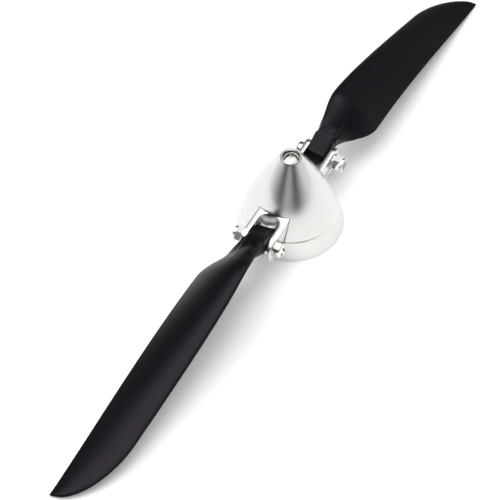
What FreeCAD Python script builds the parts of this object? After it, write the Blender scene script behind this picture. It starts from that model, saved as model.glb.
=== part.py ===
import FreeCAD, Part
import math
import os
from FreeCAD import Vector

# Two-blade folding propeller with a turned aluminium spinner, in millimetres.
# +Z is the spin axis, towards the nose. The origin is the centre of the
# backplate's rear face. Blade 1 points along +X and blade 2 along -X.

# Spinner: one convex profile shared by the backplate's rim and the cone.
SPINNER_R = 20.0
SPINNER_H = 35.0
NOSE_R = 3.8
PROFILE_BULGE = 1.7
WALL = 1.4
SEAM_Z = 8.0
NOSE_SOLID_Z = 28.0
NOSE_POCKET_R = 3.25
NOSE_POCKET_DEPTH = 3.15

# Backplate floor, with the rear recess that takes the drive collar's flange.
FLOOR_T = 3.0
FLANGE_R = 7.5
FLANGE_T = 1.2
REAR_RECESS = 1.6
REAR_CHAMFER = 0.35
SPIGOT_H = 1.4
SPIGOT_T = 1.0

# Yoke: a round hub with two forked arms.
PIN_X = 23.2
PIN_Z = 12.2
EAR_R = 4.9
ARM_HALF = 6.1
FORK_HALF = 4.15
FORK_END_X = 17.6
HUB_R = 9.0
BOSS_R = 8.0
SLOT_GAP = 0.15

# Collet and the taper that closes it on the motor shaft.
SHAFT_R = 2.5
SHAFT_DEPTH = 15.5
COLLET_THREAD_R = 4.0
COLLET_TAPER_R = 5.1
COLLET_TOP_Z = 25.5
COLLET_REAR_Z = 0.5
TAPER_END_Z = 7.0
COLLAR_R = 6.0
SLIT_W = 0.6
SLIT_TOP_Z = 13.0
TAP_FLOOR_T = 1.5

# Hub nut and washer.
HUB_WASHER_R = 7.0
HUB_WASHER_T = 0.8
HUB_NUT_FLATS = 13.0
HUB_NUT_H = 4.5

# M3 hardware.
M3_R = 1.49
M3_HOLE_R = 1.55
M3_TAP_R = 1.51
HEAD_R = 3.0
HEAD_H = 2.9
HEAD_DOME = 1.0
CROSS_R = 1.9
CROSS_W = 0.75
CROSS_DEPTH = 1.3
PIVOT_SCREW_L = 16.0
NOSE_SCREW_L = 12.0
WASHER_R = 3.2
WASHER_T = 0.5
NUT_FLATS = 5.5
NUT_HEX_H = 2.7
NUT_COLLAR_R = 2.6
NUT_H = 3.8
INSERT_R = 2.1
INSERT_H = 1.2
INSERT_INSET = 0.15

# Blade lug.
LUG_HALF = 4.0
LUG_END_X = 19.7
LUG_TOP = 16.9
LUG_TILT = 0.2
LUG_EYE_R = 3.9
NECK_X = 28.0
NECK_TOP = 19.0
NECK_BOTTOM = 13.5
NECK_CORNER_POWER = 0.4

# Blade aerofoil, from the root to the tip.
TWIST_END_X = 36.0
ROOT_X = 44.5
ROOT_SOFT = 5.0
SHOULDER_START = 29.2
SHOULDER_END = 43.0
SHOULDER_SOFT = 4.0
TIP_X = 138.9
TRAILING_Y = -12.6
TRAILING_SWEEP = 0.027
ROOT_CHORD = 22.0
CHORD_TAPER = 0.0737
TIP_CURVE_L = 26.0
TIP_CHORD = 1.2
ROOT_PITCH = 184.0
TIP_PITCH = 116.0
ROOT_THICKNESS = 3.6
TIP_THICKNESS = 1.2
EDGE_THICKNESS = 0.5
MOST_THICKNESS_SHARE = 0.3
CAMBER = 0.04
ROOT_Z = 17.1
STACK_DROP = (-8.8, -14.2, 6.5)
SECTION_POINTS = 32
SECTION_COUNT = 22

# Half thickness of a symmetric aerofoil one chord thick, as factors of the
# square root and the first four powers of the distance behind the leading edge.
FOIL_ROOT_FACTOR = 1.4845
FOIL_FACTORS = (-0.63, -1.758, 1.4215, -0.518)

# Gap between pieces that fit closely.
EPS = 0.02


def arm_heights():
    """Top and bottom of the forked arms."""
    return PIN_Z - EAR_R, PIN_Z + EAR_R


def profile_radius(z, inset=0.0):
    """Spinner radius at height z: an arc from the rear edge to the nose."""
    run = SPINNER_R - NOSE_R
    length = math.hypot(run, SPINNER_H)
    arc_r = (length ** 2 / 4 + PROFILE_BULGE ** 2) / (2 * PROFILE_BULGE)
    out_x, out_z = SPINNER_H / length, run / length
    mid_x, mid_z = (SPINNER_R + NOSE_R) / 2, SPINNER_H / 2
    centre_x = mid_x - out_x * (arc_r - PROFILE_BULGE)
    centre_z = mid_z - out_z * (arc_r - PROFILE_BULGE)
    return centre_x + math.sqrt((arc_r - inset) ** 2 - (z - centre_z) ** 2)


def profile_arc(z_low, z_high, inset=0.0):
    """The profile between two heights, as an arc edge in the XZ plane."""
    points = []
    for z in (z_low, (z_low + z_high) / 2, z_high):
        points.append(Vector(profile_radius(z, inset), 0, z))
    return Part.Arc(*points).toShape()


def spun(z_low, z_high, inset=0.0):
    """Solid of revolution under the spinner's profile between two heights."""
    arc = profile_arc(z_low, z_high, inset)
    low, high = Vector(0, 0, z_low), Vector(0, 0, z_high)
    edges = [
        Part.makeLine(low, arc.Vertexes[0].Point),
        arc,
        Part.makeLine(arc.Vertexes[-1].Point, high),
        Part.makeLine(high, low),
    ]
    face = Part.Face(Part.Wire(edges))
    return face.revolve(Vector(0, 0, 0), Vector(0, 0, 1), 360)


def rod(radius, z_low, z_high):
    """Cylinder along Z."""
    return Part.makeCylinder(radius, z_high - z_low, Vector(0, 0, z_low))


def block(x_low, x_high, y_low, y_high, z_low, z_high):
    """Box between two corners."""
    corner = Vector(x_low, y_low, z_low)
    return Part.makeBox(x_high - x_low, y_high - y_low, z_high - z_low, corner)


def hexagon(flats, z_low, z_high):
    """Hexagonal prism along Z, with two flats facing Y."""
    corner_r = flats / math.sqrt(3)
    points = []
    for i in range(7):
        turn = math.radians(60 * i)
        points.append(Vector(corner_r * math.cos(turn), corner_r * math.sin(turn), z_low))
    return Part.Face(Part.makePolygon(points)).extrude(Vector(0, 0, z_high - z_low))


def other_side(shape):
    """The same shape turned half a turn about the spin axis."""
    turned = shape.copy()
    turned.rotate(Vector(0, 0, 0), Vector(0, 0, 1), 180)
    return turned


def spinner_cone():
    """Hollow cone with two arm slots and a pocket for the nose screw."""
    cone = spun(SEAM_Z, SPINNER_H)
    cone = cone.cut(spun(SEAM_Z - 1, NOSE_SOLID_Z, WALL))
    cone = cone.cut(rod(NOSE_POCKET_R, SPINNER_H - NOSE_POCKET_DEPTH, SPINNER_H + 1))
    cone = cone.cut(rod(M3_HOLE_R, NOSE_SOLID_Z - 1, SPINNER_H))
    half = ARM_HALF + SLOT_GAP
    top = arm_heights()[1] + SLOT_GAP
    return cone.cut(block(-SPINNER_R - 1, SPINNER_R + 1, -half, half, SEAM_Z - 1, top))


def backplate():
    """Dished plate that carries the cone on a locating spigot."""
    spigot_r = profile_radius(SEAM_Z + SPIGOT_H, WALL) - EPS
    spigot = rod(spigot_r, SEAM_Z - 2, SEAM_Z + SPIGOT_H)
    half = ARM_HALF + SLOT_GAP
    rear_r = SPINNER_R - REAR_CHAMFER
    chamfer = Part.makeCone(rear_r, rear_r + SPINNER_H, SPINNER_H)
    plate = spun(0, SEAM_Z).common(chamfer).fuse(spigot)
    low = arm_heights()[0] - SLOT_GAP
    plate = plate.cut(block(-SPINNER_R, SPINNER_R, -half, half, low, SPINNER_H))
    plate = plate.cut(rod(spigot_r - SPIGOT_T, FLOOR_T, SPINNER_H))
    plate = plate.cut(rod(FLANGE_R + EPS, -1, REAR_RECESS))
    plate = plate.cut(rod(COLLAR_R + EPS, -1, SPINNER_H))
    return plate.removeSplitter()


def fork_slot():
    """Round-ended slot that forks the arm along +X."""
    low, high = arm_heights()
    slot = block(FORK_END_X, PIN_X + 2 * EAR_R, -FORK_HALF, FORK_HALF, low - 1, high + 1)
    end = Part.makeCylinder(FORK_HALF, high - low + 2, Vector(FORK_END_X, 0, low - 1))
    return slot.fuse(end)


def yoke():
    """Hub with two forked arms, each ear rounded about its pivot hole."""
    low, high = arm_heights()
    hub = rod(HUB_R, low, high).fuse(rod(BOSS_R, FLOOR_T, low))
    along_y = Vector(0, 1, 0)
    arm = block(0, PIN_X, -ARM_HALF, ARM_HALF, low, high)
    ear = Part.makeCylinder(EAR_R, 2 * ARM_HALF, Vector(PIN_X, -ARM_HALF, PIN_Z), along_y)
    hole = Part.makeCylinder(M3_HOLE_R, 4 * ARM_HALF, Vector(PIN_X, -2 * ARM_HALF, PIN_Z), along_y)
    arm = arm.fuse(ear).cut(fork_slot()).cut(hole)
    body = hub.fuse([arm, other_side(arm)]).removeSplitter()
    body = body.cut(rod(COLLET_THREAD_R + EPS, FLOOR_T - 1, high + 1))
    return body.cut(rod(COLLAR_R + EPS, FLOOR_T - 1, TAPER_END_Z + EPS))


def taper(extra=0.0):
    """The cone that the collet and the drive collar share."""
    height = TAPER_END_Z - COLLET_REAR_Z
    return Part.makeCone(
        COLLET_TAPER_R + extra, COLLET_THREAD_R + extra, height, Vector(0, 0, COLLET_REAR_Z)
    )


def drive_collar():
    """Flanged ring behind the backplate, tapered inside."""
    flange = rod(FLANGE_R, REAR_RECESS - FLANGE_T, REAR_RECESS)
    sleeve = rod(COLLAR_R, REAR_RECESS - FLANGE_T, TAPER_END_Z)
    ring = flange.fuse(sleeve).cut(taper(EPS))
    return ring.cut(rod(COLLET_TAPER_R + EPS, -1, COLLET_REAR_Z + EPS))


def collet():
    """Split collet: shaft bore behind, tapped for the nose screw in front."""
    body = rod(COLLET_THREAD_R, TAPER_END_Z, COLLET_TOP_Z).fuse(taper())
    body = body.cut(rod(SHAFT_R, -1, SHAFT_DEPTH))
    body = body.cut(rod(M3_TAP_R, SHAFT_DEPTH + TAP_FLOOR_T, COLLET_TOP_Z + 1))
    reach = 2 * COLLET_TAPER_R
    half = SLIT_W / 2
    body = body.cut(block(-reach, reach, -half, half, -1, SLIT_TOP_Z))
    return body.cut(block(-half, half, -reach, reach, -1, SLIT_TOP_Z))


def hub_washer():
    """Plain washer under the hub nut."""
    low = arm_heights()[1]
    ring = rod(HUB_WASHER_R, low, low + HUB_WASHER_T)
    return ring.cut(rod(COLLET_THREAD_R + EPS, low - 1, low + HUB_WASHER_T + 1))


def hub_nut():
    """Thin hexagon nut on the collet's thread, chamfered on top."""
    low = arm_heights()[1] + HUB_WASHER_T
    high = low + HUB_NUT_H
    drop = HUB_NUT_FLATS
    chamfer = Part.makeCone(
        HUB_NUT_FLATS / 2 + 2 * drop, HUB_NUT_FLATS / 2, drop, Vector(0, 0, high - drop)
    )
    nut = hexagon(HUB_NUT_FLATS, low, high).common(chamfer)
    return nut.cut(rod(COLLET_THREAD_R + EPS, low - 1, high + 1))


def pan_head_screw(length):
    """Cross-recess screw: under-head plane at z = 0, shank down -Z."""
    rim_h = HEAD_H - HEAD_DOME
    dome_r = (HEAD_R ** 2 + HEAD_DOME ** 2) / (2 * HEAD_DOME)
    dome = Part.makeSphere(dome_r, Vector(0, 0, HEAD_H - dome_r))
    head = rod(HEAD_R, 0, HEAD_H).common(dome.fuse(rod(HEAD_R, 0, rim_h)))
    shank = rod(M3_R, -length, 0)
    screw = head.fuse(shank)
    floor = HEAD_H - CROSS_DEPTH
    half = CROSS_W / 2
    for long_x, long_y in ((CROSS_R, half), (half, CROSS_R)):
        screw = screw.cut(block(-long_x, long_x, -long_y, long_y, floor, HEAD_H + 1))
    return screw


def nose_screw():
    """Holds the cone down on the backplate."""
    screw = pan_head_screw(NOSE_SCREW_L)
    screw.translate(Vector(0, 0, SPINNER_H - NOSE_POCKET_DEPTH))
    return screw


def on_pivot(shape, y):
    """Move a +Z shape so that it points along +Y, from y on the pivot axis."""
    placed = shape.copy()
    placed.rotate(Vector(0, 0, 0), Vector(1, 0, 0), -90)
    placed.translate(Vector(PIN_X, y, PIN_Z))
    return placed


def pivot_screw():
    """Hinge pin of a blade, head on the leading side."""
    return on_pivot(pan_head_screw(PIVOT_SCREW_L), ARM_HALF + WASHER_T)


def washer(y):
    """M3 washer whose face nearer the blade is at y."""
    return on_pivot(rod(WASHER_R, 0, WASHER_T).cut(rod(M3_HOLE_R, -1, 1)), y)


def pivot_nut():
    """Locknut body: hexagon and the round collar that holds the insert."""
    nut = hexagon(NUT_FLATS, 0, NUT_HEX_H).fuse(rod(NUT_COLLAR_R, 0, NUT_H))
    nut = nut.cut(rod(M3_TAP_R, -1, NUT_H + 1))
    low = NUT_H - INSERT_H
    nut = nut.cut(rod(INSERT_R + EPS, low - EPS, NUT_H + 1))
    return on_trailing_side(nut)


def nut_insert():
    """Nylon ring in the locknut's collar."""
    low = NUT_H - INSERT_H
    ring = rod(INSERT_R, low, NUT_H - INSERT_INSET).cut(rod(M3_TAP_R, 0, NUT_H + 1))
    return on_trailing_side(ring)


def on_trailing_side(shape):
    """Place a +Z shape on the pivot axis pointing -Y, outside the washer."""
    placed = shape.copy()
    placed.rotate(Vector(0, 0, 0), Vector(1, 0, 0), 90)
    placed.translate(Vector(PIN_X, -ARM_HALF - WASHER_T, PIN_Z))
    return placed


def ease(x, start, end):
    """Smooth step from 0 at start to 1 at end."""
    share = min(1, max(0, (x - start) / (end - start)))
    return share * share * (3 - 2 * share)


def mix(first, last, share):
    """Value between two others."""
    return first + (last - first) * share


def pitch_angle(x):
    """Blade angle in radians, from a pitch that washes out to the tip."""
    share = (x - ROOT_X) / (TIP_X - ROOT_X)
    return math.atan(mix(ROOT_PITCH, TIP_PITCH, share) / (2 * math.pi * x))


def wing_frame(x):
    """Chord, angle and middle of the section outboard of the root."""
    left = 1 - min(1, (TIP_X - x) / TIP_CURVE_L)
    chord = (ROOT_CHORD - CHORD_TAPER * (x - ROOT_X)) * math.sqrt(1 - left ** 2)
    chord = max(TIP_CHORD, chord)
    angle = pitch_angle(x)
    mid_y = TRAILING_Y - TRAILING_SWEEP * (x - ROOT_X) + chord / 2 * math.cos(angle)
    share = (x - ROOT_X) / (TIP_X - ROOT_X)
    mid_z = ROOT_Z + sum(drop * share ** (i + 1) for i, drop in enumerate(STACK_DROP))
    return chord, angle, mid_y, mid_z


def soft_positive(value, soft):
    """The value where it is positive, else 0, its corner rounded over a distance."""
    if abs(value) < soft:
        return (value + soft) ** 2 / (4 * soft)
    return max(0, value)


def shoulder(x):
    """Share of the way from the neck's width to the full chord."""
    rise = soft_positive(x - SHOULDER_START, SHOULDER_START - NECK_X)
    rise -= soft_positive(x - SHOULDER_END, SHOULDER_SOFT)
    return rise / (SHOULDER_END - SHOULDER_START)


def section_frame(x):
    """Chord, angle and middle of the section at any x from the neck out."""
    chord, angle, mid_y, mid_z = wing_frame(ROOT_X + soft_positive(x - ROOT_X, ROOT_SOFT))
    spread = shoulder(x)
    tilt = math.atan(LUG_TILT)
    chord = mix(2 * LUG_HALF / math.cos(tilt), chord, spread)
    angle = mix(tilt, angle, ease(x, NECK_X, TWIST_END_X))
    mid_z = mix((NECK_TOP + NECK_BOTTOM) / 2, mid_z, spread)
    return chord, angle, mid_y * spread, mid_z


def wing_half_thickness(back, thick):
    """Half thickness at a share of the chord behind the leading edge."""
    curve = FOIL_ROOT_FACTOR * math.sqrt(back)
    curve += sum(factor * back ** (i + 1) for i, factor in enumerate(FOIL_FACTORS))
    return thick * curve + EDGE_THICKNESS / 2 * back ** 2


def blade_section(x):
    """Closed section at x, as points that start at the leading edge."""
    chord, angle, mid_y, mid_z = section_frame(x)
    share = max(0, (x - ROOT_X) / (TIP_X - ROOT_X))
    thick = min(mix(ROOT_THICKNESS, TIP_THICKNESS, share), MOST_THICKNESS_SHARE * chord)
    foil_share = ease(x, NECK_X, TWIST_END_X)
    neck_half = (NECK_TOP - NECK_BOTTOM) / 2
    points = []
    for i in range(SECTION_POINTS):
        turn = 2 * math.pi * (i + 0.5) / SECTION_POINTS
        c, s = math.cos(turn), math.sin(turn)
        foil_across = math.copysign(wing_half_thickness(0.5 - c / 2, thick), s)
        foil_across += CAMBER * chord * (1 - c * c)
        neck_along = math.copysign(abs(c) ** NECK_CORNER_POWER, c) / 2
        neck_across = math.copysign(neck_half * abs(s) ** NECK_CORNER_POWER, s)
        along = chord * mix(neck_along, c / 2, foil_share)
        across = mix(neck_across, foil_across, foil_share)
        y = mid_y + along * math.cos(angle) - across * math.sin(angle)
        z = mid_z + along * math.sin(angle) + across * math.cos(angle)
        points.append(Vector(x, y, z))
    return points


def closed_curve(points):
    """Smooth closed wire through points."""
    curve = Part.BSplineCurve()
    curve.interpolate(Points=points, PeriodicFlag=True)
    return Part.Wire(curve.toShape())


def lug_side(y):
    """Outline of the lug at one side; its top tilts up to the leading side."""
    top = LUG_TOP + LUG_TILT * y
    neck_top = NECK_TOP + LUG_TILT * y
    neck_bottom = NECK_BOTTOM + LUG_TILT * y
    pin = Vector(PIN_X, y, PIN_Z)
    reach = math.hypot(NECK_X - PIN_X, neck_bottom - PIN_Z)
    slope = math.atan2(neck_bottom - PIN_Z, NECK_X - PIN_X) - math.acos(LUG_EYE_R / reach)
    heel = math.acos((LUG_END_X - PIN_X) / LUG_EYE_R)
    arc = []
    for turn in (-heel, (slope - heel) / 2, slope):
        arc.append(pin + Vector(math.cos(turn), 0, math.sin(turn)) * LUG_EYE_R)
    corners = [
        arc[2],
        Vector(NECK_X, y, neck_bottom),
        Vector(NECK_X, y, neck_top),
        Vector(PIN_X, y, top),
        Vector(LUG_END_X, y, top),
        arc[0],
    ]
    edges = [Part.makeLine(corners[i], corners[i + 1]) for i in range(len(corners) - 1)]
    return Part.Wire([Part.Arc(*arc).toShape()] + edges)


def blade_lug():
    """Flat-sided lug, round under the pivot and cut square inboard."""
    return Part.makeLoft([lug_side(-LUG_HALF), lug_side(LUG_HALF)], True, True)


def stations():
    """Places of the blade's sections, closest together at the root and the tip."""
    places = []
    for i in range(SECTION_COUNT):
        turn = math.pi / 2 * i / (SECTION_COUNT - 1)
        share = (math.sin(turn) + 1 - math.cos(turn)) / 2
        places.append(mix(NECK_X, TIP_X, share))
    return places


def blade():
    """Blade 1: lug, root transition and twisted aerofoil in one moulding."""
    sections = [closed_curve(blade_section(x)) for x in stations()]
    body = Part.makeLoft(sections, True, False).fuse(blade_lug())
    hole = Part.makeCylinder(
        M3_HOLE_R, 4 * LUG_HALF, Vector(PIN_X, -2 * LUG_HALF, PIN_Z), Vector(0, 1, 0)
    )
    return body.cut(hole)


def save(name, shape):
    """Write one node, after making sure that it is a sound solid."""
    if not shape.isValid() or not shape.Solids:
        raise ValueError(name + " is not a valid solid")
    if len(shape.Solids) == 1:
        shape = shape.Solids[0]
    shape.exportStep("parts/" + name + ".step")
    print(name, len(shape.Solids), shape.BoundBox)


def main():
    os.makedirs("parts", exist_ok=True)
    hub_pieces = {
        "spinner_cone": spinner_cone,
        "backplate": backplate,
        "yoke": yoke,
        "drive_collar": drive_collar,
        "collet": collet,
        "hub_washer": hub_washer,
        "hub_nut": hub_nut,
        "nose_screw": nose_screw,
    }
    for name, make in hub_pieces.items():
        save(name, make())
    side_pieces = {
        "blade": blade(),
        "pivot_screw": pivot_screw(),
        "pivot_nut": pivot_nut(),
        "nut_insert": nut_insert(),
        "head_washer": washer(ARM_HALF),
        "nut_washer": washer(-ARM_HALF - WASHER_T),
    }
    for name, shape in side_pieces.items():
        save(name + "_1", shape)
        save(name + "_2", other_side(shape))


main()
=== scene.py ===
import math

import bmesh
import bpy
from mathutils import Matrix, Vector
from mathutils.bvhtree import BVHTree


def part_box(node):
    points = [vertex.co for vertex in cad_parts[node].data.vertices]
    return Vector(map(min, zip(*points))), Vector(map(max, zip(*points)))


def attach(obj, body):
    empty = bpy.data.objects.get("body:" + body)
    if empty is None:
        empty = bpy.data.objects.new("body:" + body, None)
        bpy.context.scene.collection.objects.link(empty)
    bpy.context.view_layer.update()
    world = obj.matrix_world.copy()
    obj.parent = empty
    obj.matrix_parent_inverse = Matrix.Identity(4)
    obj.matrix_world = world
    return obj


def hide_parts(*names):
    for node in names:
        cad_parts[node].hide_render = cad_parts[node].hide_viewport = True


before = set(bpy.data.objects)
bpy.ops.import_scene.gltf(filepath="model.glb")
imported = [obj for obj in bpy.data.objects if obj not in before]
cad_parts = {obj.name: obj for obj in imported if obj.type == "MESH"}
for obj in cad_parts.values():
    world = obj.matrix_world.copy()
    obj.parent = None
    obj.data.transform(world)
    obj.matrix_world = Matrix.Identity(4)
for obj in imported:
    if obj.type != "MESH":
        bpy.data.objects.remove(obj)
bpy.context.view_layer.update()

# Two-blade folding propeller. Lengths here are millimetres; MM turns them into
# metres as a mesh is made. +Z is the spin axis, towards the nose.
MM = 0.001

# Spinner profile, as in the CAD source: one arc from the rear edge to the nose.
SPINNER_R = 20.0
SPINNER_H = 35.0
NOSE_R = 3.8
PROFILE_BULGE = 1.7
WALL = 1.4
SEAM_Z = 8.0
NOSE_SOLID_Z = 28.0
NOSE_POCKET_R = 3.25
NOSE_POCKET_DEPTH = 3.15
EDGE_BREAK = 0.14
CONE_STEPS = 288
PROFILE_STEPS = 96
CONE_SHARP = 28

# Pivot and forked arm.
PIN_X = 23.2
PIN_Z = 12.2
ARM_HALF = 6.1
ARM_TOP = 17.1
SLOT_GAP = 0.15

# M3 thread, its clear hole and its tapped hole, and a screw's tapered point.
M3_R = 1.49
M3_HOLE_R = 1.55
M3_TAP_R = 1.51
M3_PITCH = 0.5
M3_THREAD_DEPTH = 0.22
POINT_L = 0.75
POINT_DEPTH = 0.3

# Pan head, and the cross recess cut into it. The arms' ends flare outwards, and
# the cutter stands a little above the head.
HEAD_R = 3.0
HEAD_H = 2.9
HEAD_DOME = 1.0
CROSS_R = 2.1
CROSS_W = 0.9
CROSS_DEPTH = 1.9
CROSS_FLARE = 1.5
CROSS_OVERRUN = 0.3

# Screw lengths under the head.
PIVOT_SCREW_L = 16.0
NOSE_SCREW_L = 12.0

# Washers and locknuts on the pivot screws, and each locknut's nylon ring.
WASHER_T = 0.5
WASHER_R = 3.2
NUT_FLATS = 5.5
NUT_HEX_H = 2.7
NUT_COLLAR_R = 2.6
NUT_H = 3.8
NUT_CHAMFER = math.radians(30)
NUT_ROLL_R = 0.5
INSERT_R = 2.1
INSERT_H = 1.2
INSERT_INSET = 0.15
INSERT_GAP = 0.02

# Nut and washer on the collet's thread.
HUB_NUT_FLATS = 13.0
HUB_NUT_H = 4.5
HUB_WASHER_R = 7.0
HUB_WASHER_T = 0.8
COLLET_THREAD_R = 4.02

# Widths of the edges that are broken or rounded on each machined piece.
BACKPLATE_EDGE = 0.07
YOKE_EDGE = 0.2
COLLAR_EDGE = 0.1
COLLET_EDGE = 0.08
WASHER_EDGE = 0.12
HUB_WASHER_EDGE = 0.15
INSERT_EDGE = 0.1

# How finely the fasteners are drawn, and where their creases are kept (degrees).
ROUND_STEPS = 96
SCREW_STEPS = 48
ROWS_PER_PITCH = 8
DOME_ROWS = 14
DOME_START = 0.03
CHAMFER_ROWS = 6
ROLL_POINTS = 8
EDGE_POINTS = 4
NUT_SHARP = 24
SCREW_SHARP = 40

# Joining of the CAD's facets before their edges are broken.
MERGE_DISTANCE = 1e-7
FLAT_ANGLE = math.radians(1)
CORNER_ANGLE = math.radians(40)

# Blade lug and neck.
LUG_HALF = 4.0
LUG_END_X = 19.7
LUG_TOP = 16.9
LUG_TILT = 0.2
LUG_RISE_X = 20.2
LUG_EYE_R = 3.9
NECK_X = 28.0
NECK_TOP = 19.0
NECK_BOTTOM = 13.5
LUG_CORNER_POWER = 0.16
NECK_CORNER_POWER = 0.4
CORNER_FADE_L = 4.0

# Blade aerofoil.
TWIST_END_X = 36.0
ROOT_X = 44.5
ROOT_SOFT = 5.0
SHOULDER_START = 29.2
SHOULDER_END = 43.0
SHOULDER_SOFT = 4.0
TIP_X = 138.9
TRAILING_Y = -12.6
TRAILING_SWEEP = 0.027
ROOT_CHORD = 22.0
CHORD_TAPER = 0.0737
TIP_CURVE_L = 26.0
TIP_CHORD = 1.2
ROOT_PITCH = 184.0
TIP_PITCH = 116.0
ROOT_THICKNESS = 3.6
TIP_THICKNESS = 1.2
EDGE_THICKNESS = 0.5
MOST_THICKNESS_SHARE = 0.3
CAMBER = 0.04
ROOT_Z = 17.1
STACK_DROP = (-8.8, -14.2, 6.5)
FOIL_ROOT_FACTOR = 1.4845
FOIL_FACTORS = (-0.63, -1.758, 1.4215, -0.518)

# How finely the blade is drawn. Its rows crowd together towards the tip.
AROUND = 160
LUG_EDGE_ROWS = 4
LUG_ROWS = 36
WING_ROWS = 190
ROW_CROWDING = 0.7
BLADE_SHARP = 38

# Raised slab that carries on from the lug over the root, and its plain bars.
SLAB_H = 0.45
SLAB_HALF = 3.0
SLAB_EDGE = 0.6
SLAB_FADE = (31.0, 44.0)
SLAB_ROUND_LUG = (0.5, 1.0)
SLAB_ROUND_WING = (0.0, 0.3)
BAR_X = (28.6, 29.7, 30.8)
BAR_Y = 0.9
BAR_HALF_L = 1.5
BAR_HALF_W = 0.2
BAR_H = 0.2
BAR_FLARE = 0.08
BAR_SUNK = 0.3
ABOVE_BLADE_Z = 60.0

# White tent round the table. Its lower wall is lit unevenly: tones by bearing in
# degrees from the camera's side. Above it comes a dim band, then a bright roof,
# each between two heights that are given as sines of the elevation.
WALL_TONES = (
    (-180, 0.1), (-145, 0.1), (-118, 0.8), (-95, 0.84), (-80, 0.78), (-64, 0.55),
    (-48, 0.25), (-38, 0.02), (-27, 0.0), (-21, 0.55), (-8, 0.5), (4, 0.3),
    (11, 0.0), (21, 0.04), (34, 0.36), (50, 0.68), (66, 0.92), (85, 0.82),
    (105, 0.76), (125, 0.84), (155, 0.2), (180, 0.1),
)
BAND_TONE = 0.06
BAND_START = (0.3, 0.44)
ROOF_TONE = 1.0
ROOF_START = (0.6, 0.76)

# Floor: its radius in metres, its faint glow, and the gap that keeps its surface
# apart from the backplate's rear face.
FLOOR_R = 4.0
FLOOR_GLOW = 0.16
FLOOR_GAP = 0.02

# Lamps: diameter and place in metres, power in watts.
KEY_SIZE = 1.0
KEY_POWER = 4.6
KEY_UP = 0.9
KEY_LEFT = 0.32
BACK_SIZE = 0.45
BACK_POWER = 1.25
BACK_UP = 0.75
BACK_RIGHT = 0.32
BACK_AWAY = 0.38

# Camera: how far round, how high, how far off, and what it is centred on.
VIEW_AZIMUTH = math.radians(119.3)
VIEW_ELEVATION = math.radians(51.76)
VIEW_ROLL = math.radians(-1.031)
VIEW_DISTANCE = 548.8
VIEW_LENS = 106.7
SENSOR_WIDTH = 36
AIM_RIGHT = 14.87
AIM_UP = 11.40

# Nearest and farthest that the camera sees, in metres.
CLIP_START = 0.01
CLIP_END = 20.0

# How far a cutter runs past what it cuts.
OVERRUN = 1.0


# ---------------------------------------------------------------- helpers

def ease(x, start, end):
    """Smooth step from 0 at start to 1 at end."""
    share = min(1, max(0, (x - start) / (end - start)))
    return share * share * (3 - 2 * share)


def mix(first, last, share):
    """Value between two others."""
    return first + (last - first) * share


def new_object(name, mesh):
    """Link a mesh to the scene as a named object."""
    made = bpy.data.objects.new(name, mesh)
    bpy.context.scene.collection.objects.link(made)
    return made


def finish_mesh(mesh, sharp_degrees=32):
    """Smooth shading, with creases kept where faces meet at a steep angle."""
    for face in mesh.polygons:
        face.use_smooth = True
    mesh.set_sharp_from_angle(angle=math.radians(sharp_degrees))


def mesh_from(bm, name):
    """Turn a finished bmesh into a mesh, and free it."""
    mesh = bpy.data.meshes.new(name)
    bm.to_mesh(mesh)
    bm.free()
    return mesh


def join_rings(bm, rings):
    """Join each ring of vertices to the next with a band of faces."""
    for low, high in zip(rings, rings[1:]):
        for i in range(len(low)):
            j = (i + 1) % len(low)
            bm.faces.new((low[i], low[j], high[j], high[i]))


def close_ends(bm, rings):
    """Cap the first ring of vertices and the last."""
    bm.faces.new(rings[0][::-1])
    bm.faces.new(rings[-1])


def grid_mesh(name, rows, closed_ends):
    """Mesh from rings of points in millimetres: a capped tube, or a closed loop."""
    bm = bmesh.new()
    rings = [[bm.verts.new(Vector(point) * MM) for point in row] for row in rows]
    join_rings(bm, rings)
    if closed_ends:
        close_ends(bm, rings)
    else:
        join_rings(bm, (rings[-1], rings[0]))
    bmesh.ops.recalc_face_normals(bm, faces=bm.faces)
    return mesh_from(bm, name)


def ring(radius_at, z, steps):
    """Ring of points at height z, its radius a function of the angle."""
    points = []
    for i in range(steps):
        turn = 2 * math.pi * i / steps
        radius = radius_at(turn)
        points.append((radius * math.cos(turn), radius * math.sin(turn), z))
    return points


def circle(radius, z, steps):
    """Round ring of points at height z."""
    return ring(lambda _: radius, z, steps)


def lathe(name, profile, steps, closed_ends=False):
    """Turned mesh from (radius, z) points; a closed loop unless it has ends."""
    rows = [circle(radius, z, steps) for radius, z in profile]
    return grid_mesh(name, rows, closed_ends)


def arc_points(centre, radius, start, end, count):
    """Points in (radius, z) on an arc, angles in degrees."""
    points = []
    for i in range(count):
        turn = math.radians(mix(start, end, i / (count - 1)))
        point_r = centre[0] + radius * math.cos(turn)
        point_z = centre[1] + radius * math.sin(turn)
        points.append((point_r, point_z))
    return points


def cut(target, cutter):
    """Take one solid out of another, and delete the cutter."""
    modifier = target.modifiers.new("cut", "BOOLEAN")
    modifier.operation = "DIFFERENCE"
    modifier.solver = "EXACT"
    modifier.object = cutter
    apply_modifiers(target)
    bpy.data.objects.remove(cutter)


def apply_modifiers(obj):
    """Replace an object's mesh by what its modifiers make of it."""
    graph = bpy.context.evaluated_depsgraph_get()
    mesh = bpy.data.meshes.new_from_object(obj.evaluated_get(graph), depsgraph=graph)
    obj.modifiers.clear()
    obj.data = mesh


def box_object(low, high, top_scale=(1, 1)):
    """Box between two corners in millimetres, its top scaled about its axis."""
    bm = bmesh.new()
    bmesh.ops.create_cube(bm, size=1)
    for vert in bm.verts:
        scale = (*top_scale, 1) if vert.co.z > 0 else (1, 1, 1)
        for k in range(3):
            vert.co[k] = mix(low[k], high[k], vert.co[k] * scale[k] + 0.5) * MM
    return new_object("cutter", mesh_from(bm, "cutter"))


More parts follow.
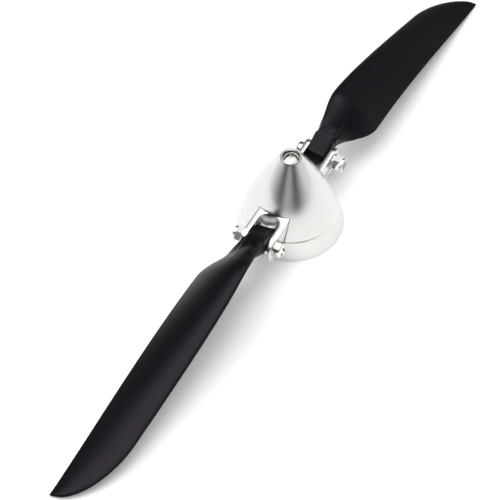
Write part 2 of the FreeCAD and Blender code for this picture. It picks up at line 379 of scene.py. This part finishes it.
def turned_about_z(obj, name):
    """The same piece half a turn round the spin axis, for the other blade."""
    mesh = obj.data.copy()
    mesh.transform(Matrix.Rotation(math.pi, 4, "Z"))
    return new_object(name, mesh)


def settle(obj, body, slot, material, *nodes):
    """Give a piece its material, its body and the CAD nodes it stands for."""
    obj.data.materials.clear()
    obj.data.materials.append(material)
    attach(obj, body)
    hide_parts(*nodes)


# ---------------------------------------------------------------- materials

def new_material(name, colour, metallic, roughness):
    """Principled material; returns it with its node tree and its shader."""
    material = bpy.data.materials.new(name)
    material.use_nodes = True
    tree = material.node_tree
    shader = tree.nodes["Principled BSDF"]
    shader.inputs["Base Color"].default_value = (*colour, 1)
    shader.inputs["Metallic"].default_value = metallic
    shader.inputs["Roughness"].default_value = roughness
    return material, tree, shader


def noise(tree, scale, detail, stretch=(1, 1, 1)):
    """Noise in object space, finer along an axis that is stretched more."""
    place = tree.nodes.new("ShaderNodeTexCoord")
    mapping = tree.nodes.new("ShaderNodeMapping")
    mapping.inputs["Scale"].default_value = stretch
    texture = tree.nodes.new("ShaderNodeTexNoise")
    texture.inputs["Scale"].default_value = scale
    texture.inputs["Detail"].default_value = detail
    tree.links.new(place.outputs["Object"], mapping.inputs["Vector"])
    tree.links.new(mapping.outputs["Vector"], texture.inputs["Vector"])
    return texture.outputs["Fac"]


def ranged(tree, value, low, high):
    """Map the middle of a noise output, where most of it lies, to a range."""
    node = tree.nodes.new("ShaderNodeMapRange")
    node.inputs["From Min"].default_value = 0.3
    node.inputs["From Max"].default_value = 0.7
    node.inputs["To Min"].default_value = low
    node.inputs["To Max"].default_value = high
    tree.links.new(value, node.inputs["Value"])
    return node.outputs["Result"]


def add_bump(tree, shader, height, depth, strength):
    """Bump from a height, its full depth given in millimetres."""
    node = tree.nodes.new("ShaderNodeBump")
    node.inputs["Distance"].default_value = depth * MM
    node.inputs["Strength"].default_value = strength
    tree.links.new(height, node.inputs["Height"])
    tree.links.new(node.outputs["Normal"], shader.inputs["Normal"])


def tint(tree, shader, value, dark, light):
    """Base colour that varies between two shades."""
    node = tree.nodes.new("ShaderNodeMix")
    node.data_type = "RGBA"
    node.inputs["A"].default_value = (*dark, 1)
    node.inputs["B"].default_value = (*light, 1)
    tree.links.new(value, node.inputs["Factor"])
    tree.links.new(node.outputs["Result"], shader.inputs["Base Color"])


def turning_marks(tree):
    """Height of fine rings cut by a lathe tool: it changes only along Z."""
    return noise(tree, scale=1, detail=4, stretch=(0, 0, 5200))


def turned_aluminium():
    """Satin aluminium straight off the lathe, brushed round its axis."""
    material, tree, shader = new_material(
        "turned_aluminium", colour=(0.73, 0.735, 0.71), metallic=1, roughness=0.2
    )
    shader.inputs["Anisotropic"].default_value = 0.88
    tangent = tree.nodes.new("ShaderNodeTangent")
    tangent.direction_type = "RADIAL"
    tangent.axis = "Z"
    tree.links.new(tangent.outputs["Tangent"], shader.inputs["Tangent"])
    marks = turning_marks(tree)
    tree.links.new(ranged(tree, marks, low=0.19, high=0.23), shader.inputs["Roughness"])
    add_bump(tree, shader, marks, depth=0.004, strength=0.08)
    return material


def milled_aluminium():
    """Bright milled aluminium with faint cutter marks along the arms."""
    material, tree, shader = new_material(
        "milled_aluminium", colour=(0.8, 0.8, 0.79), metallic=1, roughness=0.24
    )
    marks = noise(tree, scale=1, detail=3, stretch=(700, 4200, 700))
    tree.links.new(ranged(tree, marks, low=0.21, high=0.28), shader.inputs["Roughness"])
    add_bump(tree, shader, marks, depth=0.003, strength=0.2)
    return material


def plated_steel():
    """Nickel-plated steel: bright, faintly warm, with slight waviness."""
    material, tree, shader = new_material(
        "plated_steel", colour=(0.82, 0.81, 0.78), metallic=1, roughness=0.08
    )
    cloud = noise(tree, scale=420, detail=3)
    tree.links.new(ranged(tree, cloud, low=0.05, high=0.12), shader.inputs["Roughness"])
    tint(tree, shader, cloud, dark=(0.78, 0.77, 0.74), light=(0.87, 0.86, 0.83))
    add_bump(tree, shader, cloud, depth=0.01, strength=0.25)
    return material


def collet_steel():
    """Plain turned steel, darker than the plated fasteners."""
    material, tree, shader = new_material(
        "collet_steel", colour=(0.58, 0.58, 0.59), metallic=1, roughness=0.3
    )
    marks = turning_marks(tree)
    tree.links.new(ranged(tree, marks, low=0.22, high=0.38), shader.inputs["Roughness"])
    add_bump(tree, shader, marks, depth=0.008, strength=0.4)
    return material


def insert_nylon():
    """Natural nylon ring of a locknut."""
    material, tree, shader = new_material(
        "insert_nylon", colour=(0.66, 0.68, 0.7), metallic=0, roughness=0.45
    )
    cloud = noise(tree, scale=900, detail=2)
    tint(tree, shader, cloud, dark=(0.6, 0.62, 0.64), light=(0.71, 0.73, 0.75))
    return material


def blade_nylon():
    """Black glass-filled nylon: fine mould grain and soft cloudy patches."""
    material, tree, shader = new_material(
        "blade_nylon", colour=(0.002, 0.0015, 0.0028), metallic=0, roughness=0.36
    )
    shader.inputs["Specular IOR Level"].default_value = 0.19
    shader.inputs["Specular Tint"].default_value = (0.95, 0.84, 1.0, 1)
    cloud = noise(tree, scale=60, detail=3)
    tint(tree, shader, cloud, dark=(0.0015, 0.0011, 0.0022), light=(0.0026, 0.002, 0.0036))
    grain = noise(tree, scale=2600, detail=4)
    tree.links.new(ranged(tree, grain, low=0.31, high=0.41), shader.inputs["Roughness"])
    add_bump(tree, shader, grain, depth=0.02, strength=0.25)
    return material


# ---------------------------------------------------------------- spinner

def profile_radius(z, inset=0.0):
    """Spinner radius at height z: an arc from the rear edge to the nose."""
    run = SPINNER_R - NOSE_R
    length = math.hypot(run, SPINNER_H)
    arc_r = (length ** 2 / 4 + PROFILE_BULGE ** 2) / (2 * PROFILE_BULGE)
    out_x, out_z = SPINNER_H / length, run / length
    centre_x = (SPINNER_R + NOSE_R) / 2 - out_x * (arc_r - PROFILE_BULGE)
    centre_z = SPINNER_H / 2 - out_z * (arc_r - PROFILE_BULGE)
    return centre_x + math.sqrt((arc_r - inset) ** 2 - (z - centre_z) ** 2)


def cone_profile():
    """Closed outline of the cone's wall, with its outer edges broken."""
    outline = [(profile_radius(SEAM_Z) - EDGE_BREAK, SEAM_Z)]
    for i in range(PROFILE_STEPS + 1):
        z = mix(SEAM_Z + EDGE_BREAK, SPINNER_H - EDGE_BREAK, i / PROFILE_STEPS)
        outline.append((profile_radius(z), z))
    pocket_z = SPINNER_H - NOSE_POCKET_DEPTH
    outline += [
        (NOSE_R - EDGE_BREAK, SPINNER_H),
        (NOSE_POCKET_R + EDGE_BREAK / 2, SPINNER_H),
        (NOSE_POCKET_R, SPINNER_H - EDGE_BREAK / 2),
        (NOSE_POCKET_R, pocket_z),
        (M3_HOLE_R, pocket_z),
        (M3_HOLE_R, NOSE_SOLID_Z),
    ]
    inner_steps = PROFILE_STEPS // 3
    for i in range(inner_steps + 1):
        z = mix(NOSE_SOLID_Z, SEAM_Z, i / inner_steps)
        outline.append((profile_radius(z, WALL), z))
    return outline


def build_spinner_cone(material):
    """Turned cone with the two arm slots milled through its foot."""
    cone = new_object("spinner_cone_turned", lathe("cone", cone_profile(), CONE_STEPS))
    half = ARM_HALF + SLOT_GAP
    reach = SPINNER_R + OVERRUN
    cut(cone, box_object((-reach, -half, SEAM_Z - OVERRUN), (reach, half, ARM_TOP + SLOT_GAP)))
    finish_mesh(cone.data, CONE_SHARP)
    settle(cone, "hub", "turned_aluminium", material, "spinner_cone")


def build_machined(node, name, slot, material, edge):
    """Copy of a CAD node with its edges broken, as a machinist leaves them."""
    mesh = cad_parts[node].data.copy()
    bm = bmesh.new()
    bm.from_mesh(mesh)
    bmesh.ops.remove_doubles(bm, verts=bm.verts, dist=MERGE_DISTANCE)
    bmesh.ops.dissolve_limit(bm, angle_limit=FLAT_ANGLE, verts=bm.verts, edges=bm.edges)
    bm.to_mesh(mesh)
    bm.free()
    piece = new_object(name, mesh)
    bevel = piece.modifiers.new("edge_break", "BEVEL")
    bevel.width = edge * MM
    bevel.segments = 2
    bevel.limit_method = "ANGLE"
    bevel.angle_limit = CORNER_ANGLE
    apply_modifiers(piece)
    finish_mesh(piece.data)
    settle(piece, "hub", slot, material, node)


# ---------------------------------------------------------------- fasteners

def thread_ring(z, length):
    """Ring on a V thread that fades in under the head and tapers at the point."""
    depth = M3_THREAD_DEPTH * min(1, -z / M3_PITCH)
    taper = min(1, max(0, (-z - length + POINT_L) / M3_PITCH))

    def radius_at(turn):
        phase = (z / M3_PITCH - turn / (2 * math.pi)) % 1
        return M3_R - depth * (1 - abs(2 * phase - 1)) - POINT_DEPTH * taper

    return ring(radius_at, z, SCREW_STEPS)


def screw_mesh(length):
    """Pan-head screw in one closed skin: domed head, threaded shank, point."""
    dome_r = (HEAD_R ** 2 + HEAD_DOME ** 2) / (2 * HEAD_DOME)
    widest = math.asin((HEAD_R - EDGE_BREAK) / dome_r)
    rows = []
    for i in range(DOME_ROWS):
        turn = mix(DOME_START, widest, i / (DOME_ROWS - 1))
        z = HEAD_H - dome_r + dome_r * math.cos(turn)
        rows.append(circle(dome_r * math.sin(turn), z, SCREW_STEPS))
    rows.append(circle(HEAD_R, HEAD_H - HEAD_DOME - EDGE_BREAK, SCREW_STEPS))
    rows.append(circle(HEAD_R, EDGE_BREAK, SCREW_STEPS))
    rows.append(circle(HEAD_R - EDGE_BREAK, 0, SCREW_STEPS))
    rows.append(circle(M3_R, 0, SCREW_STEPS))
    count = round(length / M3_PITCH) * ROWS_PER_PITCH
    for i in range(1, count + 1):
        rows.append(thread_ring(-length * i / count, length))
    return grid_mesh("screw", rows, closed_ends=True)


def screw_object(name, length):
    """Screw with its cross recess cut into the head, under-head plane at 0."""
    screw = new_object(name, screw_mesh(length))
    for half_size, flare in (
        ((CROSS_R, CROSS_W / 2), (CROSS_FLARE, 1)),
        ((CROSS_W / 2, CROSS_R), (1, CROSS_FLARE)),
    ):
        foot_x = half_size[0] / flare[0]
        foot_y = half_size[1] / flare[1]
        low = (-foot_x, -foot_y, HEAD_H - CROSS_DEPTH)
        high = (foot_x, foot_y, HEAD_H + CROSS_OVERRUN)
        cut(screw, box_object(low, high, flare))
    finish_mesh(screw.data, SCREW_SHARP)
    return screw


def hexagon_radius(turn, flats):
    """Radius, at an angle, of a hexagon with two of its flats facing Y."""
    off = (turn + math.pi / 2 + math.pi / 6) % (math.pi / 3) - math.pi / 6
    return flats / 2 / math.cos(off)


def chamfered_nut(flats, hex_h, bore_r, chamfer_below, above):
    """Hexagon with its corners turned off, closed by the circles above it."""
    corner_r = flats / math.sqrt(3)
    start_r = flats / 2 - EDGE_BREAK
    drop = (corner_r - flats / 2 + EDGE_BREAK) * math.tan(NUT_CHAMFER)

    def hexagon(z, cone_r):
        return ring(lambda turn: min(hexagon_radius(turn, flats), cone_r), z, ROUND_STEPS)

    rows = [circle(bore_r, 0, ROUND_STEPS)]
    if chamfer_below:
        for i in range(CHAMFER_ROWS + 1):
            rows.append(hexagon(drop * i / CHAMFER_ROWS, mix(start_r, corner_r, i / CHAMFER_ROWS)))
    else:
        rows.append(hexagon(0, corner_r))
    for i in range(CHAMFER_ROWS + 1):
        z = hex_h - drop + drop * i / CHAMFER_ROWS
        rows.append(hexagon(z, mix(corner_r, start_r, i / CHAMFER_ROWS)))
    rows += [circle(radius, z, ROUND_STEPS) for radius, z in above]
    return grid_mesh("nut", rows, closed_ends=False)


def locknut_mesh():
    """Nylon-insert locknut: hexagon, round collar rolled over the ring."""
    seat_z = NUT_H - INSERT_H
    roll_centre = (NUT_COLLAR_R - NUT_ROLL_R, NUT_H - NUT_ROLL_R)
    above = [(NUT_COLLAR_R, NUT_HEX_H)]
    above += arc_points(roll_centre, NUT_ROLL_R, 0, 90, ROLL_POINTS)
    above += [(INSERT_R, NUT_H), (INSERT_R, seat_z), (M3_TAP_R, seat_z)]
    return chamfered_nut(NUT_FLATS, NUT_HEX_H, M3_TAP_R, chamfer_below=True, above=above)


def rounded_ring(name, inner_r, outer_r, low, high, edge):
    """Flat ring with four rounded edges."""
    loop = []
    for r, z, start in (
        (outer_r - edge, low + edge, -90),
        (outer_r - edge, high - edge, 0),
        (inner_r + edge, high - edge, 90),
        (inner_r + edge, low + edge, 180),
    ):
        loop += arc_points((r, z), edge, start, start + 90, EDGE_POINTS)
    return lathe(name, loop, ROUND_STEPS)


def along_y(obj, y, sign):
    """Point a +Z piece along +Y or -Y on the pivot axis, from y millimetres."""
    turn = Matrix.Rotation(math.radians(-90 * sign), 4, "X")
    place = Matrix.Translation(Vector((PIN_X, y, PIN_Z)) * MM)
    obj.data.transform(place @ turn)


def settle_pair(piece, slot, material, node):
    """Settle a piece of blade 1's pivot, and its twin at blade 2's pivot."""
    twin = turned_about_z(piece, node + "_2_detailed")
    settle(piece, "hub", slot, material, node + "_1")
    settle(twin, "hub", slot, material, node + "_2")


def build_pivot_hardware(steel, nylon):
    """Screw, two washers and locknut at each blade's pivot."""
    outer = ARM_HALF + WASHER_T
    screw = screw_object("pivot_screw_1_detailed", PIVOT_SCREW_L)
    along_y(screw, outer, 1)
    settle_pair(screw, "plated_steel", steel, "pivot_screw")
    nut = new_object("pivot_nut_1_detailed", locknut_mesh())
    finish_mesh(nut.data, NUT_SHARP)
    along_y(nut, -outer, -1)
    settle_pair(nut, "plated_steel", steel, "pivot_nut")
    insert_mesh = rounded_ring(
        "insert", M3_TAP_R, INSERT_R - INSERT_GAP, NUT_H - INSERT_H, NUT_H - INSERT_INSET, INSERT_EDGE
    )
    insert = new_object("nut_insert_1_detailed", insert_mesh)
    finish_mesh(insert.data)
    along_y(insert, -outer, -1)
    settle_pair(insert, "insert_nylon", nylon, "nut_insert")
    for node, y, sign in (("head_washer", ARM_HALF, 1), ("nut_washer", -ARM_HALF, -1)):
        washer_mesh = rounded_ring(node, M3_HOLE_R, WASHER_R, 0, WASHER_T, WASHER_EDGE)
        washer = new_object(node + "_1_detailed", washer_mesh)
        finish_mesh(washer.data)
        along_y(washer, y, sign)
        settle_pair(washer, "plated_steel", steel, node)


def build_nose_screw(steel):
    """Screw that holds the cone on, seated in the nose pocket."""
    screw = screw_object("nose_screw_detailed", NOSE_SCREW_L)
    screw.data.transform(Matrix.Translation((0, 0, (SPINNER_H - NOSE_POCKET_DEPTH) * MM)))
    settle(screw, "hub", "plated_steel", steel, "nose_screw")


def build_hub_nut(steel):
    """Washer and thin nut that pull the collet up into its taper."""
    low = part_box("hub_washer")[0].z / MM
    washer_mesh = rounded_ring(
        "washer", COLLET_THREAD_R, HUB_WASHER_R, low, low + HUB_WASHER_T, HUB_WASHER_EDGE
    )
    washer = new_object("hub_washer_detailed", washer_mesh)
    finish_mesh(washer.data)
    settle(washer, "hub", "plated_steel", steel, "hub_washer")
    above = [(COLLET_THREAD_R, HUB_NUT_H)]
    nut_mesh = chamfered_nut(
        HUB_NUT_FLATS, HUB_NUT_H, COLLET_THREAD_R, chamfer_below=False, above=above
    )
    nut_mesh.transform(Matrix.Translation((0, 0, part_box("hub_nut")[0].z)))
    nut = new_object("hub_nut_detailed", nut_mesh)
    finish_mesh(nut.data, NUT_SHARP)
    settle(nut, "hub", "plated_steel", steel, "hub_nut")


# ---------------------------------------------------------------- blades

def wing_frame(x):
    """Chord, angle and middle of the section outboard of the root."""
    left = 1 - min(1, (TIP_X - x) / TIP_CURVE_L)
    chord = (ROOT_CHORD - CHORD_TAPER * (x - ROOT_X)) * math.sqrt(1 - left ** 2)
    chord = max(TIP_CHORD, chord)
    share = (x - ROOT_X) / (TIP_X - ROOT_X)
    angle = math.atan(mix(ROOT_PITCH, TIP_PITCH, share) / (2 * math.pi * x))
    mid_y = TRAILING_Y - TRAILING_SWEEP * (x - ROOT_X) + chord / 2 * math.cos(angle)
    mid_z = ROOT_Z + sum(drop * share ** (i + 1) for i, drop in enumerate(STACK_DROP))
    return chord, angle, mid_y, mid_z


def soft_positive(value, soft):
    """The value where it is positive, else 0, its corner rounded over a distance."""
    if abs(value) < soft:
        return (value + soft) ** 2 / (4 * soft)
    return max(0, value)


def shoulder(x):
    """Share of the way from the neck's width to the full chord."""
    rise = soft_positive(x - SHOULDER_START, SHOULDER_START - NECK_X)
    rise -= soft_positive(x - SHOULDER_END, SHOULDER_SOFT)
    return rise / (SHOULDER_END - SHOULDER_START)


def wing_half_thickness(back, thick):
    """Half thickness at a share of the chord behind the leading edge."""
    curve = FOIL_ROOT_FACTOR * math.sqrt(back)
    curve += sum(factor * back ** (i + 1) for i, factor in enumerate(FOIL_FACTORS))
    return thick * curve + EDGE_THICKNESS / 2 * back ** 2


def squared(value, power):
    """Coordinate of a superellipse: a low power makes it squarer."""
    return math.copysign(abs(value) ** power, value)


def slab_lift(x, y):
    """Height of the slab raised on the lug and the root, at a place seen from above."""
    across = 1 - ease(abs(y), SLAB_HALF, SLAB_HALF + SLAB_EDGE)
    return SLAB_H * across * (1 - ease(x, *SLAB_FADE))


def wing_section(x):
    """Ring of points at x from the neck to the tip."""
    chord, angle, mid_y, mid_z = wing_frame(ROOT_X + soft_positive(x - ROOT_X, ROOT_SOFT))
    spread = shoulder(x)
    tilt = math.atan(LUG_TILT)
    chord = mix(2 * LUG_HALF / math.cos(tilt), chord, spread)
    foil = ease(x, NECK_X, TWIST_END_X)
    angle = mix(tilt, angle, foil)
    mid_z = mix((NECK_TOP + NECK_BOTTOM) / 2, mid_z, spread)
    mid_y *= spread
    share = max(0, (x - ROOT_X) / (TIP_X - ROOT_X))
    thick = min(mix(ROOT_THICKNESS, TIP_THICKNESS, share), MOST_THICKNESS_SHARE * chord)
    neck_half = (NECK_TOP - NECK_BOTTOM) / 2
    corner_share = ease(x, NECK_X, NECK_X + CORNER_FADE_L)
    power = mix(LUG_CORNER_POWER, NECK_CORNER_POWER, corner_share)
    points = []
    for i in range(AROUND):
        turn = 2 * math.pi * (i + 0.5) / AROUND
        c, s = math.cos(turn), math.sin(turn)
        foil_across = math.copysign(wing_half_thickness(0.5 - c / 2, thick), s)
        foil_across += CAMBER * chord * (1 - c * c)
        along = chord * mix(squared(c, power) / 2, c / 2, foil)
        across = mix(neck_half * squared(s, power), foil_across, foil)
        y = mid_y + along * math.cos(angle) - across * math.sin(angle)
        z = mid_z + along * math.sin(angle) + across * math.cos(angle)
        if s > 0:
            z += slab_lift(x, y) * ease(s, *SLAB_ROUND_WING)
        points.append((x, y, z))
    return points


def lug_bottom(x):
    """Underside of the lug: round below the pivot, then straight to the neck."""
    rise = NECK_BOTTOM - PIN_Z
    reach = math.hypot(NECK_X - PIN_X, rise)
    slope = math.atan2(rise, NECK_X - PIN_X) - math.acos(LUG_EYE_R / reach)
    touch_x = PIN_X + LUG_EYE_R * math.cos(slope)
    touch_z = PIN_Z + LUG_EYE_R * math.sin(slope)
    if x < touch_x:
        return PIN_Z - math.sqrt(LUG_EYE_R ** 2 - (x - PIN_X) ** 2)
    return mix(touch_z, NECK_BOTTOM, (x - touch_x) / (NECK_X - touch_x))


def lug_section(x, inset):
    """Ring of points at x on the lug, drawn in by inset at its broken end."""
    low = lug_bottom(x)
    high = mix(LUG_TOP, NECK_TOP, ease(x, LUG_RISE_X, NECK_X))
    tilt_share = ease(x, PIN_X, NECK_X)
    points = []
    for i in range(AROUND):
        turn = 2 * math.pi * (i + 0.5) / AROUND
        y = (LUG_HALF - inset) * squared(math.cos(turn), LUG_CORNER_POWER)
        up = squared(math.sin(turn), LUG_CORNER_POWER)
        tilt = LUG_TILT * y * (1 if up > 0 else tilt_share)
        z = (low + high) / 2 + ((high - low) / 2 - inset) * up + tilt * abs(up)
        if up > 0:
            z += slab_lift(x, y) * ease(up, *SLAB_ROUND_LUG)
        points.append((x, y, z))
    return points


def blade_mesh():
    """One skin from the lug's square end to the tip."""
    edge = 2 * EDGE_BREAK
    rows = []
    for i in range(LUG_EDGE_ROWS + 1):
        turn = math.pi / 2 * i / LUG_EDGE_ROWS
        x = LUG_END_X + edge * (1 - math.cos(turn))
        rows.append(lug_section(x, edge * (1 - math.sin(turn))))
    for i in range(1, LUG_ROWS):
        rows.append(lug_section(mix(LUG_END_X + edge, NECK_X, i / LUG_ROWS), 0))
    for i in range(WING_ROWS + 1):
        turn = math.pi / 2 * i / WING_ROWS
        share = mix(i / WING_ROWS, math.sin(turn), ROW_CROWDING)
        rows.append(wing_section(mix(NECK_X, TIP_X, share)))
    return grid_mesh("blade", rows, closed_ends=True)


def bar_outlines(foot, normal):
    """Outlines of one bar: sunk in the slab, at its foot, and at its narrower top."""
    side = Vector((1, 0, 0)) - normal * normal.x
    side.normalize()
    lengthwise = normal.cross(side)
    foot_half_w = BAR_HALF_W + BAR_FLARE
    outlines = []
    for half_w, height in ((foot_half_w, -BAR_SUNK), (foot_half_w, 0), (BAR_HALF_W, BAR_H)):
        corners = []
        for a, b in ((-1, -1), (1, -1), (1, 1), (-1, 1)):
            offset = side * half_w * a + lengthwise * BAR_HALF_L * b + normal * height
            corners.append(foot + offset * MM)
        outlines.append(corners)
    return outlines


def bar_mesh(skin):
    """Short plain bars standing on the slab, laid to the skin under them."""
    bm = bmesh.new()
    down = Vector((0, 0, -1))
    for x in BAR_X:
        foot, normal, _, _ = skin.ray_cast(Vector((x, BAR_Y, ABOVE_BLADE_Z)) * MM, down)
        rings = []
        for corners in bar_outlines(foot, normal):
            rings.append([bm.verts.new(corner) for corner in corners])
        join_rings(bm, rings)
        close_ends(bm, rings)
    bmesh.ops.recalc_face_normals(bm, faces=bm.faces)
    return mesh_from(bm, "bars")


def build_blades(material):
    """Both blades, each with its pivot hole and its plain bars."""
    blade = new_object("blade_1_moulding", blade_mesh())
    reach = 2 * LUG_HALF
    profile = ((M3_HOLE_R, -reach), (M3_HOLE_R, reach))
    hole = new_object("cutter", lathe("cutter", profile, ROUND_STEPS, closed_ends=True))
    along_y(hole, 0, 1)
    cut(blade, hole)
    finish_mesh(blade.data, BLADE_SHARP)
    skin = BVHTree.FromPolygons(
        [v.co for v in blade.data.vertices], [p.vertices for p in blade.data.polygons]
    )
    bars = new_object("blade_1_plain_bars", bar_mesh(skin))
    finish_mesh(bars.data)
    for first, second, nodes in (
        (blade, "blade_2_moulding", ("blade_1", "blade_2")),
        (bars, "blade_2_plain_bars", ()),
    ):
        twin = turned_about_z(first, second)
        settle(first, "blade_one", "blade_nylon", material, *nodes[:1])
        settle(twin, "blade_two", "blade_nylon", material, *nodes[1:])


# ---------------------------------------------------------------- studio

def view_axes():
    """Camera's back, right and up directions in the propeller's frame."""
    back = Vector((
        math.sin(VIEW_AZIMUTH) * math.cos(VIEW_ELEVATION),
        -math.cos(VIEW_AZIMUTH) * math.cos(VIEW_ELEVATION),
        math.sin(VIEW_ELEVATION),
    ))
    level = Vector((math.cos(VIEW_AZIMUTH), math.sin(VIEW_AZIMUTH), 0))
    upright = back.cross(level)
    right = level * math.cos(VIEW_ROLL) + upright * math.sin(VIEW_ROLL)
    up = upright * math.cos(VIEW_ROLL) - level * math.sin(VIEW_ROLL)
    return back, right, up


def build_camera():
    """Long-lens camera looking down at the nose."""
    back, right, up = view_axes()
    data = bpy.data.cameras.new("camera")
    data.lens = VIEW_LENS
    data.sensor_width = SENSOR_WIDTH
    data.clip_start = CLIP_START
    data.clip_end = CLIP_END
    camera = bpy.data.objects.new("camera", data)
    place = (back * VIEW_DISTANCE - right * AIM_RIGHT - up * AIM_UP) * MM
    facing = Matrix((right, up, back)).transposed().to_4x4()
    camera.matrix_world = Matrix.Translation(place) @ facing
    bpy.context.scene.collection.objects.link(camera)
    bpy.context.scene.camera = camera


def build_floor():
    """White table top under the propeller, with a faint glow of its own."""
    bm = bmesh.new()
    bmesh.ops.create_circle(bm, cap_ends=True, segments=ROUND_STEPS, radius=FLOOR_R)
    mesh = mesh_from(bm, "floor")
    material, _, shader = new_material(
        "floor_white", colour=(0.94, 0.94, 0.945), metallic=0, roughness=0.9
    )
    shader.inputs["Specular IOR Level"].default_value = 0.05
    shader.inputs["Emission Color"].default_value = (1, 1, 1, 1)
    shader.inputs["Emission Strength"].default_value = FLOOR_GLOW
    mesh.materials.append(material)
    floor = new_object("floor", mesh)
    floor.location.z = -FLOOR_GAP * MM


def add_lamp(name, size, power, place):
    """Round soft lamp at a place in metres, aimed at the propeller."""
    lamp = bpy.data.lights.new(name, "AREA")
    lamp.shape = "DISK"
    lamp.size = size
    lamp.energy = power
    holder = bpy.data.objects.new(name, lamp)
    facing = place.to_track_quat("Z", "Y").to_matrix().to_4x4()
    holder.matrix_world = Matrix.Translation(place) @ facing
    bpy.context.scene.collection.objects.link(holder)


def build_lights():
    """Key lamp almost overhead, and a small one behind for the flat tops."""
    back, right, _ = view_axes()
    away = Vector((-back.x, -back.y, 0)).normalized()
    overhead = Vector((0, 0, 1))
    key_place = overhead * KEY_UP - right * KEY_LEFT
    back_place = away * BACK_AWAY + right * BACK_RIGHT + overhead * BACK_UP
    add_lamp("key", KEY_SIZE, KEY_POWER, key_place)
    add_lamp("back", BACK_SIZE, BACK_POWER, back_place)


def direction_part(tree, direction, axis):
    """How far a direction of the world points along an axis."""
    node = tree.nodes.new("ShaderNodeVectorMath")
    node.operation = "DOT_PRODUCT"
    node.inputs[1].default_value = axis
    tree.links.new(direction, node.inputs[0])
    return node.outputs["Value"]


def world_bearing(tree, direction):
    """Bearing of a direction from the camera's side, -180 to 180 degrees as 0 to 1."""
    back = view_axes()[0]
    front = Vector((back.x, back.y, 0)).normalized()
    turn = tree.nodes.new("ShaderNodeMath")
    turn.operation = "ARCTAN2"
    tree.links.new(direction_part(tree, direction, Vector((-front.y, front.x, 0))), turn.inputs[0])
    tree.links.new(direction_part(tree, direction, front), turn.inputs[1])
    share = tree.nodes.new("ShaderNodeMapRange")
    share.inputs["From Min"].default_value = -math.pi
    share.inputs["From Max"].default_value = math.pi
    tree.links.new(turn.outputs["Value"], share.inputs["Value"])
    return share.outputs["Result"]


def give_way(tree, below, tone, height, limits):
    """Blend from one tone to another between two heights on the tent."""
    share = tree.nodes.new("ShaderNodeMapRange")
    share.interpolation_type = "SMOOTHSTEP"
    share.inputs["From Min"].default_value = limits[0]
    share.inputs["From Max"].default_value = limits[1]
    tree.links.new(height, share.inputs["Value"])
    blend = tree.nodes.new("ShaderNodeMix")
    blend.data_type = "RGBA"
    blend.inputs["B"].default_value = (tone, tone, tone, 1)
    tree.links.new(share.outputs["Result"], blend.inputs["Factor"])
    tree.links.new(below, blend.inputs["A"])
    return blend.outputs["Result"]


def build_world():
    """White tent with the dark openings that the metal mirrors."""
    world = bpy.data.worlds.new("tent")
    bpy.context.scene.world = world
    world.use_nodes = True
    tree = world.node_tree
    direction = tree.nodes.new("ShaderNodeTexCoord").outputs["Generated"]
    ramp = tree.nodes.new("ShaderNodeValToRGB")
    stops = ramp.color_ramp.elements
    while len(stops) < len(WALL_TONES):
        stops.new(0.5)
    for i, (degrees, tone) in enumerate(WALL_TONES):
        stops[i].position = 0.5 + degrees / 360
        stops[i].color = (tone, tone, tone, 1)
    tree.links.new(world_bearing(tree, direction), ramp.inputs["Fac"])
    height = direction_part(tree, direction, (0, 0, 1))
    band = give_way(tree, ramp.outputs["Color"], BAND_TONE, height, BAND_START)
    roof = give_way(tree, band, ROOF_TONE, height, ROOF_START)
    tree.links.new(roof, tree.nodes["Background"].inputs["Color"])
    bpy.context.scene.view_settings.view_transform = "Standard"


# ---------------------------------------------------------------- making

build_camera()
build_floor()
build_lights()
build_world()

aluminium = turned_aluminium()
milled = milled_aluminium()
steel = plated_steel()
plain_steel = collet_steel()
build_spinner_cone(aluminium)
build_machined("backplate", "backplate_turned", "turned_aluminium", aluminium, BACKPLATE_EDGE)
build_machined("yoke", "yoke_milled", "milled_aluminium", milled, YOKE_EDGE)
build_machined("drive_collar", "drive_collar_turned", "milled_aluminium", milled, COLLAR_EDGE)
build_machined("collet", "collet_turned", "collet_steel", plain_steel, COLLET_EDGE)
build_nose_screw(steel)
build_hub_nut(steel)
build_pivot_hardware(steel, insert_nylon())
build_blades(blade_nylon())
